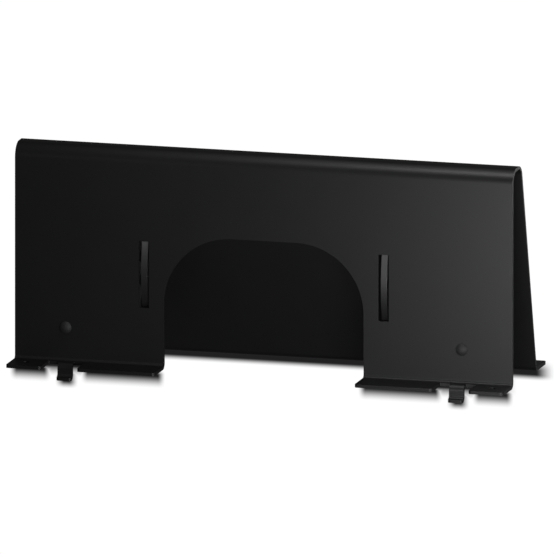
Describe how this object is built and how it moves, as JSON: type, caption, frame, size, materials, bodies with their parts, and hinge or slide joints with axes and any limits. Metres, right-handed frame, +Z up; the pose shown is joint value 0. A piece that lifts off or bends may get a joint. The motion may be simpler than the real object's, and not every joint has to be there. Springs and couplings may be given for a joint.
{
  "type": "microphone isolation shield",
  "caption": "Folded black steel microphone shield with rolled top, sloping rear panel, front arch, strap slots, hook tabs, and foam absorbers held by wing nuts.",
  "frame": {"origin": "under the middle of the shield, at the centre of its footprint and at the level of the hook feet's undersides", "axes": "+X to the right of a person facing the arch, along the shield's width; +Y from the arch to the sloping rear panel; +Z up"},
  "size_m": [0.48, 0.1516, 0.22],
  "materials": {
    "black_powder_coat": "satin black powder coat on 3 mm steel sheet",
    "satin_black_steel": "satin black spring steel strip",
    "black_oxide": "black oxide, slightly glossy",
    "zinc_plate": "bright zinc plate",
    "charcoal_foam": "open-cell charcoal foam with wedges"
  },
  "bodies": {
    "shield": {"shield_shell": "black_powder_coat", "strap_bar_left": "satin_black_steel", "strap_bar_right": "satin_black_steel", "dome_bolt_left": "black_oxide", "dome_bolt_right": "black_oxide", "wide_washer_left": "zinc_plate", "wide_washer_right": "zinc_plate", "absorber_left": "charcoal_foam", "absorber_right": "charcoal_foam"},
    "left_wing_nut": {"wing_nut_left": "zinc_plate"},
    "right_wing_nut": {"wing_nut_right": "zinc_plate"}
  },
  "joints": [
    {"name": "left_wing_nut_spin", "type": "hinge", "parent": "shield", "child": "left_wing_nut", "pos_m": [-0.191, -0.02165, 0.0476], "axis": [0, 1, 0], "continuous": true},
    {"name": "right_wing_nut_spin", "type": "hinge", "parent": "shield", "child": "right_wing_nut", "pos_m": [0.191, -0.02165, 0.0476], "axis": [0, 1, 0], "continuous": true}
  ]
}
